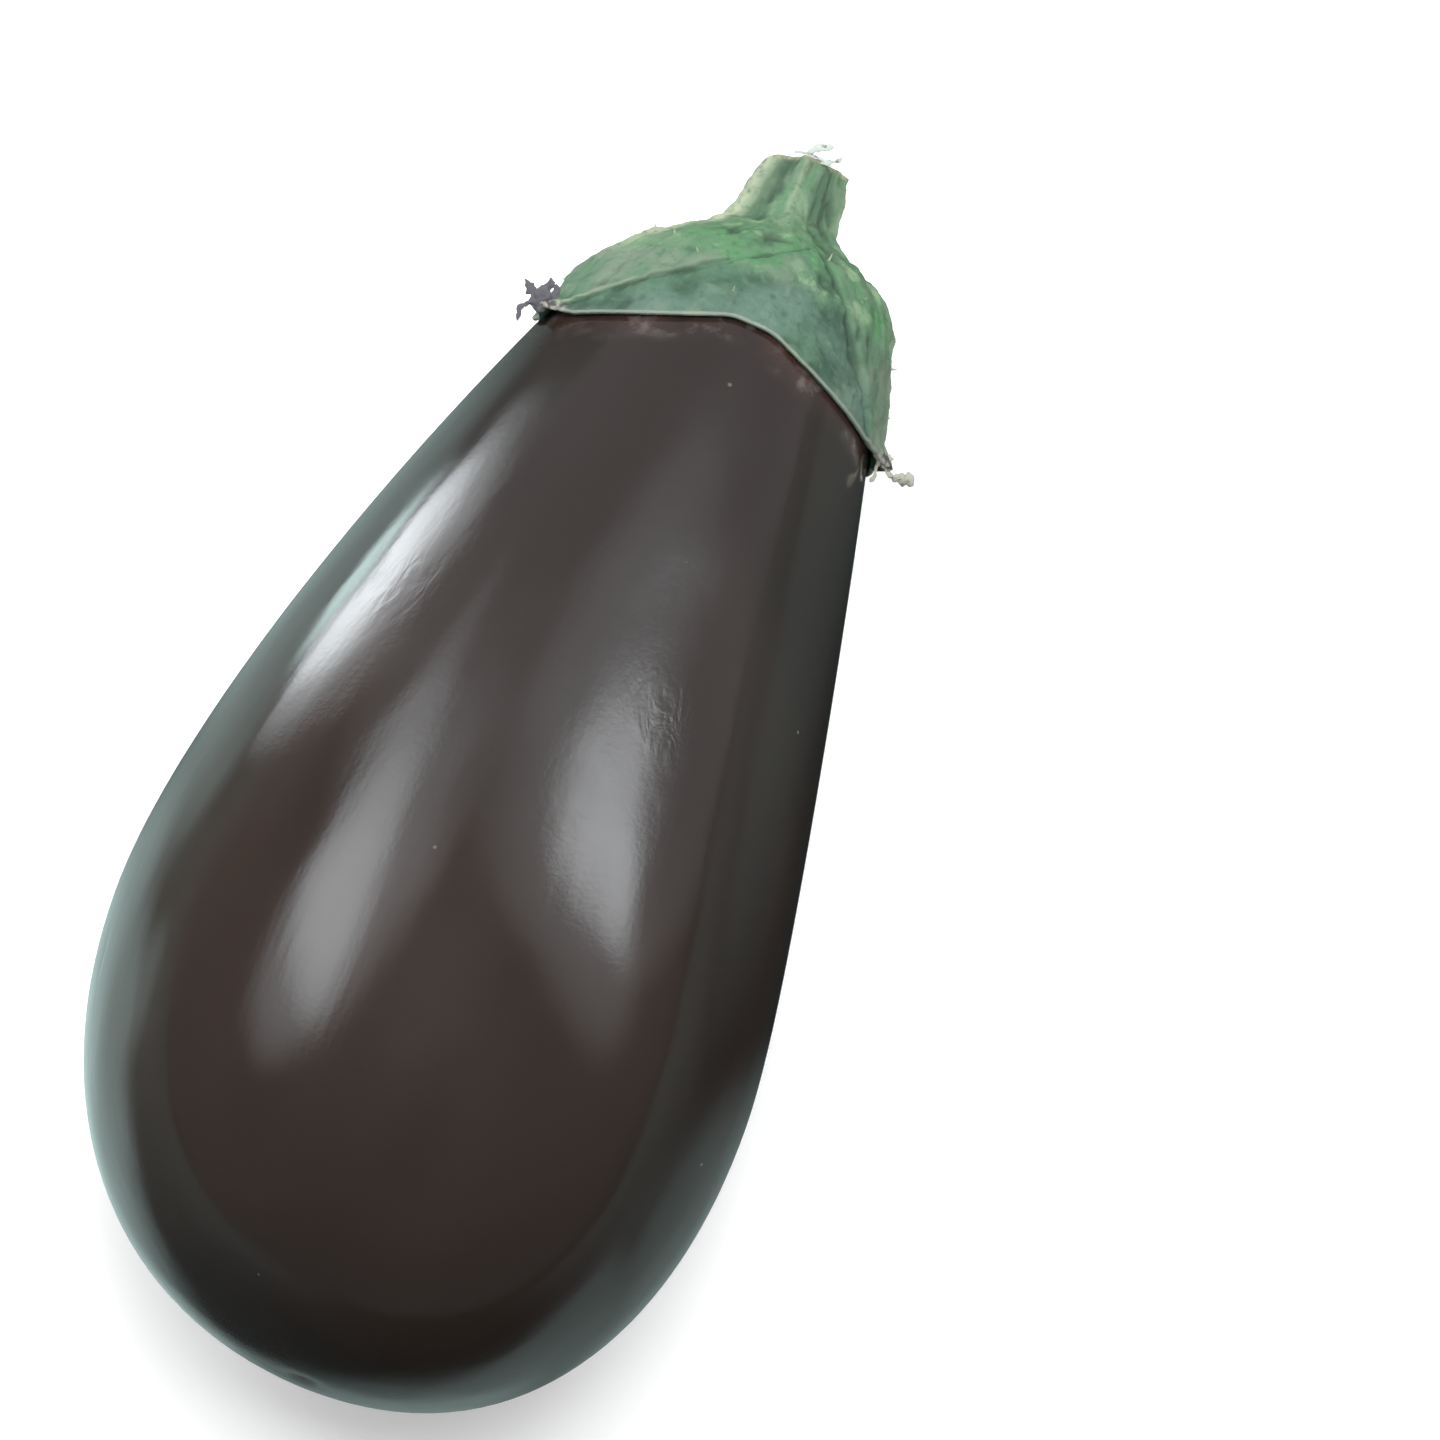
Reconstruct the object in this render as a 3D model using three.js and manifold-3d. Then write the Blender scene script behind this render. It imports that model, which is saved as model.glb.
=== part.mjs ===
// An eggplant as picked, laid on its side: the glossy dark fruit, and the green calyx that caps its
// shoulder and carries the cut stalk. Millimetres, +Z up. The origin is the middle of the small flat
// spot that the fruit rests on, the blossom end points along -Y and the stalk along +Y.
import * as THREE from 'three';
import { mergeVertices } from 'three/addons/utils/BufferGeometryUtils.js';
import Module from 'manifold-3d';

const wasm = await Module();
wasm.setup();

// ---- Driving dimensions: millimetres, and degrees where the name says so ----
// A station is a distance along the fruit's axis from the blossom end. An azimuth goes round that
// axis from the top of the lying fruit, over its +X side.

// Fruit: three Bezier spans, from the blossom end to the belly, the neck and the crown.
const FRUIT_LENGTH = 178.4;
const BELLY_STATION = 55.2;
const BELLY_RADIUS = 46.65;
const NECK_STATION = 157.3;
const NECK_RADIUS = 24.5;
const NECK_TAPER = 0.32; // radius lost for each millimetre along the neck
const BLOSSOM_STATION = -0.55;
const BLOSSOM_HANDLE = 30.2; // how flat the blossom end is
const LOWER_BELLY_HANDLE = 32;
const UPPER_BELLY_HANDLE = 22.4;
const LOWER_NECK_HANDLE = 29.3;
const UPPER_NECK_HANDLE = 11;
const CROWN_HANDLE = 17; // how flat the crown is under the calyx

// The fruit isn't a true turned shape.
const SIDE_BOW = 3.9; // the axis bows this far towards -X near mid length
const BOW_START = -1; // station where the bow begins
const NECK_RISE = 2; // the axis rises this far at the crown
const CROWN_LEAN = 0.13; // the crown and stalk reach further on the +X side, by this share of x
const OVAL = 0.012; // share of the radius by which the section is oval
const THREE_SIDED = 0.008; // share of the radius by which the section is three-sided
const OVAL_AZIMUTH = 70; // degrees
const THREE_SIDED_AZIMUTH = 25; // degrees
const SCAR_RADIUS = 4; // the dried scar where the flower was
const SCAR_DEPTH = 1.2;

// How it lies.
const DROOP = 9.5; // degrees by which the axis sinks towards the stalk
const FLAT_DEPTH = 0.6; // skin pressed flat where the fruit rests

// Calyx: a cap over the shoulder with four sepals, the two at the sides being the broad ones.
const GAP = 0.35; // between the calyx and the skin
const SINUS_STATION = 157.5; // the calyx edge between two sepals
const CREASE_STATION = 170; // above it the sepals run together
const FOLD_STATION = 166; // and above this fold there is no thin web between them
const EDGE_ROUNDNESS = 2.4; // 1 gives straight-sided sepals
const EDGE_BLEND = 0.7; // rounds the corner between two sepals
const SEPAL_LIMIT = 1.5; // half widths from its middle beyond which a sepal shapes nothing
const EDGE_THICKNESS = 1.5;
const WEB_DEPTH = 0.7; // the skin between sepals is this much thinner
const CREASE_SOFTNESS = 1.2;
// Each dry tip turns out from the skin, and along it towards the blossom end. On either side of a
// sepal's middle its fleshy part is full up to one azimuth and ends at another: before and after.
const SEPALS = [
  { azimuth: 82, reach: 4.9, before: 64, after: 38, tipOut: 2.6, tipAlong: 0.3, fleshy: [14, 47, 6, 38] },
  { azimuth: 152, reach: 7, before: 32, after: 28, tipOut: 2.4, tipAlong: 1, fleshy: [6, 32, 6, 28] },
  { azimuth: 214, reach: 5.5, before: 34, after: 40, tipOut: 3, tipAlong: 2, fleshy: [6, 34, 6, 40] },
  { azimuth: 300, reach: 5.6, before: 28, after: 63, tipOut: 1.6, tipAlong: -0.8, fleshy: [3, 28, 2, 66] },
];
const TIP_WIDTH = 9; // degrees
const TIP_LENGTH = 3;

// The outer face of the calyx and stalk, as stations and radii.
const SKIRT_STATION = 150; // below the lowest sepal tip
const SHOULDER_STATION = 172.5;
const SHOULDER_RADIUS = 18.9;
const SHOULDER_SLOPE = 45; // degrees from the axis
const STALK_FOOT_STATION = 184;
const STALK_FOOT_RADIUS = 7.4;
const STALK_END_STATION = 191.5;
const STALK_END_RADIUS = 6.1;
const SKIRT_HANDLE = 9;
const LOWER_SHOULDER_HANDLE = 6;
const UPPER_SHOULDER_HANDLE = 6;
const STALK_FOOT_HANDLE = 5;
const STALK_BEND = -1.2; // the cut end lies this far towards +X
const RIDGES = 5;
const RIDGE_AZIMUTH = 5; // degrees
const RIDGE_HEIGHT = 0.18; // share of the stalk's radius
const CUT_BEVEL = 0.5;
const CUT_DISH = 0.7;

// Prickles on the calyx.
const PRICKLES = 16;
const PRICKLE_LENGTH = 1.1;
const PRICKLE_RADIUS = 0.38;
const PRICKLE_SIDES = 4;
const PRICKLE_ROOT = 0.8; // sunk into the calyx
const PRICKLE_LOW_STATION = 161;
const PRICKLE_HIGH_STATION = 177;
const PRICKLE_SCATTER = 0.6; // share of the even spacing
const GOLDEN_STEP = 0.618034;
const PLASTIC_STEP = 0.754878;

// Mesh density.
const SPAN_STEPS = 12;
const FRUIT_SIDES = 60;
const CALYX_SIDES = 90;
const OUTER_ROWS = 20;
const INNER_ROWS = 6;
const CURVE_SAMPLES = 60;
const MERGE_DISTANCE = 1e-4;
const PROBE_STEP = 0.01; // for the slopes of the outer face

// Colours.
const SKIN_COLOUR = 0x2b1f20;
const CALYX_COLOUR = 0x6e967a;

// ---- Curves ----

const { degToRad, radToDeg, euclideanModulo } = THREE.MathUtils;
const { clamp, lerp, mapLinear, smoothstep } = THREE.MathUtils;

// A point of an outline: x is its radius and y its station.
function at(radius, station) {
  return new THREE.Vector2(radius, station);
}

// A Bezier span between two points, each with the handle that leads away from it.
function span(start, startHandle, endHandle, end) {
  return new THREE.CubicBezierCurve(start, start.clone().add(startHandle), end.clone().add(endHandle), end);
}

// Joins spans into one row of points, without the doubled ends.
function outline(spans, steps) {
  const points = [spans[0].getPoint(0)];
  for (const piece of spans) {
    points.push(...piece.getPoints(steps).slice(1));
  }
  return points;
}

function fruitSpans() {
  const blossomEnd = at(0, BLOSSOM_STATION);
  const belly = at(BELLY_RADIUS, BELLY_STATION);
  const neck = at(NECK_RADIUS, NECK_STATION);
  const crown = at(0, FRUIT_LENGTH);
  const taper = at(-NECK_TAPER, 1).normalize();
  const upperNeckHandle = taper.clone().multiplyScalar(UPPER_NECK_HANDLE);
  const lowerNeckHandle = taper.clone().multiplyScalar(-LOWER_NECK_HANDLE);
  return [
    span(blossomEnd, at(BLOSSOM_HANDLE, 0), at(0, -LOWER_BELLY_HANDLE), belly),
    span(belly, at(0, UPPER_BELLY_HANDLE), lowerNeckHandle, neck),
    span(neck, upperNeckHandle, at(CROWN_HANDLE, 0), crown),
  ];
}

// The outline moved outwards by a distance square to itself.
function offset(points, distance) {
  return points.map((point, index) => {
    const ahead = points[Math.min(index + 1, points.length - 1)];
    const behind = points[Math.max(index - 1, 0)];
    const along = ahead.clone().sub(behind).normalize();
    return new THREE.Vector2(point.x + along.y * distance, point.y - along.x * distance);
  });
}

// The radius of an outline at a station.
function radiusAt(points, station) {
  const next = points.findIndex((point) => point.y >= station);
  if (next <= 0) {
    return points.at(next).x;
  }
  const low = points[next - 1];
  const high = points[next];
  return mapLinear(station, low.y, high.y, low.x, high.x);
}

// ---- The form that fruit and calyx share ----

// Moves a point of the turned shape to the bowed, slightly angular one.
function bend(radius, station, azimuth, target) {
  const oval = OVAL * Math.cos(2 * (azimuth - degToRad(OVAL_AZIMUTH)));
  const threeSided = THREE_SIDED * Math.cos(3 * (azimuth - degToRad(THREE_SIDED_AZIMUTH)));
  const girth = radius * (1 + oval + threeSided);
  const bow = -SIDE_BOW * Math.sin(Math.PI * mapLinear(station, BOW_START, FRUIT_LENGTH, 0, 1));
  const rise = NECK_RISE * (station / FRUIT_LENGTH) ** 3;
  const across = girth * Math.sin(azimuth);
  const lean = CROWN_LEAN * smoothstep(station, NECK_STATION, FRUIT_LENGTH) * across;
  return target.set(bow + across, station + lean, rise + girth * Math.cos(azimuth));
}

// ---- Solids ----

// Makes a solid of a closed geometry, without the empty triangles at its poles.
function toSolid(geometry) {
  geometry.deleteAttribute('normal');
  geometry.deleteAttribute('uv');
  const merged = mergeVertices(geometry, MERGE_DISTANCE);
  const index = merged.index.array;
  const triangles = [];
  for (let i = 0; i < index.length; i += 3) {
    const [a, b, c] = index.subarray(i, i + 3);
    if (a !== b && b !== c && c !== a) {
      triangles.push(a, b, c);
    }
  }
  return new wasm.Manifold(new wasm.Mesh({
    numProp: 3,
    vertProperties: new Float32Array(merged.attributes.position.array),
    triVerts: new Uint32Array(triangles),
  }));
}

function toGeometry(solid) {
  const mesh = solid.getMesh();
  const geometry = new THREE.BufferGeometry();
  geometry.setAttribute('position', new THREE.BufferAttribute(mesh.vertProperties, 3));
  geometry.setIndex(new THREE.BufferAttribute(mesh.triVerts, 1));
  geometry.computeVertexNormals();
  return geometry;
}

// Turns rings of points, each with the same number, into a closed skin. The first and last rings
// shrink to a point.
function turned(rings, sides, place) {
  const geometry = new THREE.LatheGeometry(rings.map((_, row) => new THREE.Vector2(1, row)), sides);
  const position = geometry.attributes.position;
  const point = new THREE.Vector3();
  for (let side = 0; side <= sides; side += 1) {
    const azimuth = (2 * Math.PI * (side % sides)) / sides;
    for (let row = 0; row < rings.length; row += 1) {
      place(rings[row], azimuth, point);
      position.setXYZ(side * rings.length + row, point.x, point.y, point.z);
    }
  }
  return geometry;
}

// ---- Fruit ----

function fruitSolid() {
  const rings = outline(fruitSpans(), SPAN_STEPS);
  const skin = turned(rings, FRUIT_SIDES, (ring, azimuth, point) => {
    const dent = ring.y < BELLY_STATION ? SCAR_DEPTH * (1 - smoothstep(ring.x, 0, SCAR_RADIUS)) : 0;
    bend(ring.x, ring.y + dent, azimuth, point);
  });
  return toSolid(skin);
}

// ---- Calyx and stalk ----

const fruitOutline = outline(fruitSpans(), CURVE_SAMPLES);
const innerOutline = offset(fruitOutline, GAP);
const outerOutline = outline(outerSpans(), CURVE_SAMPLES);

function outerSpans() {
  const skirt = at(radiusAt(innerOutline, SKIRT_STATION) + EDGE_THICKNESS, SKIRT_STATION);
  const shoulder = at(SHOULDER_RADIUS, SHOULDER_STATION);
  const foot = at(STALK_FOOT_RADIUS, STALK_FOOT_STATION);
  const end = at(STALK_END_RADIUS, STALK_END_STATION);
  const slope = degToRad(SHOULDER_SLOPE);
  const upSlope = at(-Math.sin(slope), Math.cos(slope));
  const skirtHandle = at(-NECK_TAPER, 1).multiplyScalar(SKIRT_HANDLE);
  const lowerHandle = upSlope.clone().multiplyScalar(-LOWER_SHOULDER_HANDLE);
  const upperHandle = upSlope.clone().multiplyScalar(UPPER_SHOULDER_HANDLE);
  return [
    span(skirt, skirtHandle, lowerHandle, shoulder),
    span(shoulder, upperHandle, at(0, -STALK_FOOT_HANDLE), foot),
    span(foot, at(0, 0), at(0, 0), end),
  ];
}

// Degrees from a sepal's middle, negative before it.
function acrossSepal(sepal, azimuth) {
  return euclideanModulo(radToDeg(azimuth) - sepal.azimuth + 180, 360) - 180;
}

// How far an azimuth is from a sepal's middle, as a share of the sepal's half width on that side.
function sepalShare(sepal, azimuth) {
  const across = acrossSepal(sepal, azimuth);
  return across < 0 ? -across / sepal.before : across / sepal.after;
}

function sepalTip(sepal) {
  return SINUS_STATION - sepal.reach;
}

// The station of the calyx edge: rounded, with its lowest point at the middle of each sepal.
function edgeStation(azimuth) {
  let reach = 0;
  for (const sepal of SEPALS) {
    const share = Math.min(SEPAL_LIMIT, sepalShare(sepal, azimuth));
    const own = sepal.reach * (1 - share ** EDGE_ROUNDNESS);
    const near = Math.max(0, 1 - Math.abs(reach - own) / EDGE_BLEND);
    reach = Math.max(reach, own) + (near * near * EDGE_BLEND) / 4;
  }
  return SINUS_STATION - reach;
}

// 1 on a sepal's fleshy part and 0 on the thin web beside it, with a crease between them.
function sepalCover(azimuth, station, radius) {
  const covers = SEPALS.map((sepal) => {
    const spread = (station - sepalTip(sepal)) / (CREASE_STATION - sepalTip(sepal));
    const across = acrossSepal(sepal, azimuth);
    const [full, end] = across < 0 ? sepal.fleshy.slice(0, 2) : sepal.fleshy.slice(2);
    const share = Math.max(0, (Math.abs(across) - full) / (end - full));
    const inside = (spread - share) * degToRad(end - full) * radius;
    return smoothstep(inside, -CREASE_SOFTNESS, CREASE_SOFTNESS);
  });
  const aboveFold = smoothstep(station, FOLD_STATION - CREASE_SOFTNESS, FOLD_STATION + CREASE_SOFTNESS);
  return Math.max(...covers, aboveFold);
}

// How far a dry tip moves a point outwards and along the skin: most at the tip, and nothing where
// the tip's width and length end.
function tipMove(azimuth, station) {
  const move = { out: 0, along: 0 };
  for (const sepal of SEPALS) {
    const beside = (sepalShare(sepal, azimuth) * (sepal.before + sepal.after)) / 2;
    const above = station - edgeStation(azimuth);
    const strength = clamp(1 - beside / TIP_WIDTH, 0, 1) * clamp(1 - above / TIP_LENGTH, 0, 1);
    move.out += sepal.tipOut * strength;
    move.along += sepal.tipAlong * strength;
  }
  return move;
}

// Narrow ridges along the stalk, which fade into the shoulder. A share of the radius.
function ridge(azimuth, station) {
  const phase = (RIDGES / 2) * (azimuth - degToRad(RIDGE_AZIMUTH));
  const fade = smoothstep(station, SHOULDER_STATION, STALK_FOOT_STATION);
  return fade * RIDGE_HEIGHT * (0.5 - Math.abs(Math.sin(phase)));
}

// Places a point of the calyx, with its dry tips turned and the stalk bent.
function place(radius, station, azimuth, target) {
  const tip = tipMove(azimuth, station);
  bend(radius + tip.out, station - tip.along, azimuth, target);
  target.x += STALK_BEND * smoothstep(station, SHOULDER_STATION, STALK_END_STATION);
  return target;
}

function outerPoint(azimuth, station, target) {
  const radius = radiusAt(outerOutline, station);
  const web = WEB_DEPTH * (1 - sepalCover(azimuth, station, radius));
  return place((radius - web) * (1 + ridge(azimuth, station)), station, azimuth, target);
}

function innerPoint(azimuth, station, target) {
  return place(radiusAt(innerOutline, station), station, azimuth, target);
}

// The rings of the calyx, from the middle of its underside out to the edge, up the outer face and
// in to the middle of the cut end. Each ring is a function that places its point at an azimuth.
function calyxRings() {
  const crown = FRUIT_LENGTH + GAP;
  const aboveEdge = (azimuth, share) => edgeStation(azimuth) + share * TIP_LENGTH;
  const rings = [(azimuth, target) => bend(0, crown, azimuth, target)];
  for (let row = 1; row <= INNER_ROWS; row += 1) {
    const share = Math.sin((Math.PI / 2) * (1 - row / INNER_ROWS));
    rings.push((azimuth, target) => innerPoint(azimuth, lerp(aboveEdge(azimuth, 1), crown, share), target));
  }
  rings.push((azimuth, target) => innerPoint(azimuth, aboveEdge(azimuth, 0.5), target));
  rings.push((azimuth, target) => innerPoint(azimuth, aboveEdge(azimuth, 0), target));
  rings.push((azimuth, target) => outerPoint(azimuth, aboveEdge(azimuth, 0), target));
  rings.push((azimuth, target) => outerPoint(azimuth, aboveEdge(azimuth, 0.5), target));
  for (let row = 0; row <= OUTER_ROWS; row += 1) {
    const share = row / OUTER_ROWS;
    rings.push((azimuth, target) => (
      outerPoint(azimuth, lerp(aboveEdge(azimuth, 1), STALK_END_STATION, share), target)
    ));
  }
  const bevelled = STALK_END_RADIUS - CUT_BEVEL;
  const cut = STALK_END_STATION + CUT_BEVEL;
  rings.push((azimuth, target) => {
    place(bevelled * (1 + ridge(azimuth, STALK_END_STATION)), cut, azimuth, target);
  });
  rings.push((azimuth, target) => place(bevelled / 2, cut - CUT_DISH, azimuth, target));
  rings.push((azimuth, target) => place(0, cut - CUT_DISH, azimuth, target));
  return rings;
}

// Short pointed prickles, spread round the calyx by steps of the golden ratio and the plastic number
// and set square to it, roots sunk in.
function prickleSolids() {
  return Array.from({ length: PRICKLES }, (_, index) => {
    const scatter = PRICKLE_SCATTER * ((index * GOLDEN_STEP) % 1);
    const azimuth = (2 * Math.PI * (index + scatter)) / PRICKLES;
    const station = lerp(PRICKLE_LOW_STATION, PRICKLE_HIGH_STATION, (index * PLASTIC_STEP) % 1);
    const foot = outerPoint(azimuth, station, new THREE.Vector3());
    const across = outerPoint(azimuth + PROBE_STEP, station, new THREE.Vector3()).sub(foot);
    const up = outerPoint(azimuth, station + PROBE_STEP, new THREE.Vector3()).sub(foot);
    const normal = across.cross(up).normalize();
    const cone = new THREE.ConeGeometry(PRICKLE_RADIUS, PRICKLE_LENGTH + PRICKLE_ROOT, PRICKLE_SIDES);
    cone.translate(0, (PRICKLE_LENGTH - PRICKLE_ROOT) / 2, 0);
    cone.applyQuaternion(new THREE.Quaternion().setFromUnitVectors(THREE.Object3D.DEFAULT_UP, normal));
    cone.translate(foot.x, foot.y, foot.z);
    return toSolid(cone);
  });
}

function calyxSolid() {
  const rings = calyxRings();
  const skin = turned(rings, CALYX_SIDES, (ring, azimuth, point) => ring(azimuth, point));
  return wasm.Manifold.union([toSolid(skin), ...prickleSolids()]);
}

// ---- How the fruit lies ----

// Lays a solid that grows along +Y on its side, with the stalk end lower.
function laid(solid) {
  return solid.rotate([-DROOP, 0, 0]);
}

// The middle of the flat underside of a solid that stands on z = 0.
function flatMiddle(solid) {
  const position = new THREE.BufferAttribute(solid.getMesh().vertProperties, 3);
  const flat = new THREE.Box3();
  const point = new THREE.Vector3();
  for (let i = 0; i < position.count; i += 1) {
    point.fromBufferAttribute(position, i);
    if (Math.abs(point.z) < MERGE_DISTANCE) {
      flat.expandByPoint(point);
    }
  }
  return flat.getCenter(new THREE.Vector3());
}

const lyingFruit = laid(fruitSolid());
const lowest = lyingFruit.boundingBox().min[2];
const sunkFruit = lyingFruit.translate([0, 0, -lowest - FLAT_DEPTH]);
const below = new THREE.BoxGeometry(2 * FRUIT_LENGTH, 4 * FRUIT_LENGTH, FRUIT_LENGTH);
below.translate(0, 0, -FRUIT_LENGTH / 2);
const restingFruit = sunkFruit.subtract(toSolid(below));
const middle = flatMiddle(restingFruit);

function placed(solid) {
  return solid.translate([-middle.x, -middle.y, 0]);
}

// ---- The object ----

const skin = new THREE.MeshStandardMaterial({ color: SKIN_COLOUR, roughness: 0.25, metalness: 0 });
const green = new THREE.MeshStandardMaterial({ color: CALYX_COLOUR, roughness: 0.65, metalness: 0 });

const fruit = new THREE.Mesh(toGeometry(placed(restingFruit)), skin);
fruit.name = 'fruit';

const calyxLaid = laid(calyxSolid()).translate([0, 0, -lowest - FLAT_DEPTH]);
const calyx = new THREE.Mesh(toGeometry(placed(calyxLaid)), green);
calyx.name = 'calyx_and_stalk';

const eggplant = new THREE.Group();
eggplant.add(fruit, calyx);

export default eggplant;
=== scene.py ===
"""Finishes the lying eggplant: glossy skin, leathery calyx with its cut stalk, prickles and dried tips.

Metres, +Z up. A station is a distance along the fruit's axis from the blossom end, and an azimuth goes
round that axis from the top of the lying fruit, over its +X side.
"""

from bisect import bisect_left
from collections import namedtuple
from math import atan2, cos, degrees, exp, hypot, pi, radians, remainder, sin, sqrt

import bmesh
import bpy
from mathutils import Matrix, Vector, noise


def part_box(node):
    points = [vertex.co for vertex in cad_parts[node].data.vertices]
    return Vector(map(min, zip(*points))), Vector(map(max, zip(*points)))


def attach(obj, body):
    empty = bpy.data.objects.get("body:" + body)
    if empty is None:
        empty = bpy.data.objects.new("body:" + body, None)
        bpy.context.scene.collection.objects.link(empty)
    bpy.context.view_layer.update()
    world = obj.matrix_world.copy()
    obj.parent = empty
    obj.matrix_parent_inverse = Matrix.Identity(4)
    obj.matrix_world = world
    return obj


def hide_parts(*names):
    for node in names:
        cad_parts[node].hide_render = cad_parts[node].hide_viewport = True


bl_info = {
    "name": "Eggplant Finish",
    "version": (1, 0, 0),
    "blender": (4, 5, 0),
    "location": "View3D > Sidebar > Eggplant",
    "description": "Grows the skin, calyx and stalk of a lying eggplant and lights it",
    "category": "Add Mesh",
}

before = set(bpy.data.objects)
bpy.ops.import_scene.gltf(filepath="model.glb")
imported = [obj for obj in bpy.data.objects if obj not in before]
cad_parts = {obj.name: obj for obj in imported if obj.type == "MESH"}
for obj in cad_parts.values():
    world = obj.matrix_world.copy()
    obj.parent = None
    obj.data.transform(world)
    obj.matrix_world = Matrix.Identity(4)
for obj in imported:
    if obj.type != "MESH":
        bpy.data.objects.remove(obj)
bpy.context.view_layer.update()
FRUIT_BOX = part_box("fruit")
MM = 0.001
TURN = 2 * pi

# ---- Form shared by the fruit and the calyx. A handle is the length of an outline's curve handle. ----

BLOSSOM_STATION = -0.55 * MM
LOWER_BELLY_HANDLE = 32 * MM
UPPER_BELLY_HANDLE = 22.4 * MM
LOWER_NECK_HANDLE = 29.3 * MM
UPPER_NECK_HANDLE = 11 * MM
CROWN_HANDLE = 17 * MM
BOW_START = -1 * MM
OVAL = 0.012
THREE_SIDED = 0.008
OVAL_AZIMUTH = radians(70)
THREE_SIDED_AZIMUTH = radians(25)
CROWN_LEAN = 0.13
SPAN_STEPS = 36
CURVE_SAMPLES = 90
SLOPE_STEP = 0.4 * MM
FRUIT_SIDES = 160
LYING_SIDES = 72
POLE_SNAP = 0.001 * MM
NOISE_ROUGHNESS = 0.55

# ---- Skin of the fruit ----

WAVE_LENGTH = 26 * MM
WAVE_STRETCH = 0.5
WAVE_FADE = 12 * MM
SCAR_CORE = 0.35
SCAR_RIM = 0.6
# Marks, in the frame of the lying fruit: place and size of pale specks, and the depth of puckers too.
PALE_SPECKS = (
    ((0.0071, 0.079, 0.0589), 0.42 * MM),
    ((0.0162, 0.0563, 0.0683), 0.3 * MM),
)
PUCKERS = (
    ((0.019, 0.031, 0.079), 11 * MM, 0.16 * MM),
    ((-0.023, 0.034, 0.069), 10 * MM, 0.1 * MM),
)

# ---- Calyx ----

GAP = 0.35 * MM
SINUS_STATION = 157.5 * MM
CREASE_STATION = 170 * MM
EDGE_ROUNDNESS = 2.4
EDGE_REACH = 1.5
EDGE_BLEND = 0.7 * MM
EDGE_LEVEL = 2.5 * MM
INSIDE_MARGIN = 9 * MM
CREASE_SOFTNESS = 0.9 * MM
# The crease line is a painted highlight along the lit edge of the overlapping sepal.
CREASE_LINE_RISE = 0.4 * MM
CREASE_LINE_WIDTH = 0.2 * MM
CREASE_LINE_END = 163 * MM
CREASE_LINE_FADE = 5 * MM
CREST_RISE = 0.7 * MM
CREST_WIDTH = 0.6 * MM
CREST_HEIGHT = 0.12 * MM
DIP_WIDTH = 0.5 * MM
DIP_DEPTH = 0.45 * MM
# Each sepal: its middle, how far it reaches in mm and how wide it is on each side in degrees, how far
# its dry tip turns out and along in mm, and on each side where its fleshy part is full and where it ends.
Sepal = namedtuple("Sepal", "azimuth reach before after tip_out tip_along fleshy_before fleshy_after")
SEPALS = (
    Sepal(82, 4.9, 64, 38, 2.6, 0.3, (14, 47), (6, 38)),
    Sepal(152, 7, 32, 28, 2.4, 1, (6, 32), (6, 28)),
    Sepal(214, 5.5, 34, 40, 3, 2, (6, 34), (6, 40)),
    Sepal(300, 5.6, 28, 63, 1.6, -0.8, (3, 28), (2, 66)),
)
FOLD_STATION = 166 * MM
FOLD_SOFTNESS = 1.5 * MM
FOLD_WIDTH = 0.8 * MM
FOLD_HEIGHT = 0.35 * MM
FOLD_FADE = 2 * MM
LIP_ROWS = 5
LIP_BULGE = 0.35 * MM
LIP_PALE = 0.7
EDGE_CROWDING = 1.25
TIP_WIDTH = 9
TIP_LENGTH = 3 * MM
SKIRT_STATION = 150 * MM
SHOULDER_STATION = 172.5 * MM
SHOULDER_RADIUS = 18.9 * MM
SHOULDER_SLOPE = radians(45)
SKIRT_HANDLE = 9 * MM
SHOULDER_HANDLE = 6 * MM
STALK_FOOT_HANDLE = 5 * MM
STALK_BEND = -1.2 * MM
RIDGES = 5
RIDGE_AZIMUTH = radians(5)
RIDGE_HEIGHT = 0.18
RIND_AZIMUTH = radians(300)
RIND_WIDTH = radians(15)
WORN_AZIMUTH = radians(92)
WORN_WIDTH = radians(9)
WORN_SHARE = 0.7
FAR_WEAR = 0.25
RIND_START = FOLD_STATION - 6 * MM
RIND_FULL = SHOULDER_STATION + 4 * MM
WORN_END = SHOULDER_STATION + 6 * MM
FLARE_FADE = 0.55
CUT_RING = 0.8
# Where a colour starts and where it is full, by the crest of a ridge, by dryness and by share of the cut.
PALE_CREST = (0.72, 0.95)
# GROOVE_SHADE sets where the painted shade of the grooves between the ridges starts and is full.
GROOVE_SHADE = (0.3, 0)
DRY_TIP = (0.05, 0.6)
CUT_PITH = (0.97, 0.88)
CUT_BEVEL = 0.5 * MM
CUT_DISH = 0.7 * MM
CUT_RIM = 0.86
CUT_MIDDLE = 0.1
CUT_EDGE = 0.8 * MM
CUT_GRAIN = 0.12 * MM
CUT_GRAIN_SIZE = 0.9 * MM
CALYX_SIDES = 400
OUTER_ROWS = 140
INNER_ROWS = 10
CUT_ROWS = 12

# Relief of the calyx: sizes of lumps, fibres and flutes, and how many waves go round.
LUMP_SIZE = 7 * MM
LARGE_LUMPS = 0.8
SMALL_LUMP_SIZE = 3.4 * MM
LUMP_OCTAVES = 3
FIBRE_LENGTH = 9 * MM
FIBRES_ROUND = 13
STALK_FIBRES_ROUND = 5
FINE_FIBRES = 2.3
FINE_SHARE = 0.5
FLUTE_LENGTH = 20 * MM
FLUTES_ROUND = 5
FLUTE_START = FOLD_STATION - 4 * MM
RIB_WIDTH = 0.9 * MM
RIB_START = 4 * MM

# ---- Prickles ----

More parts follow.
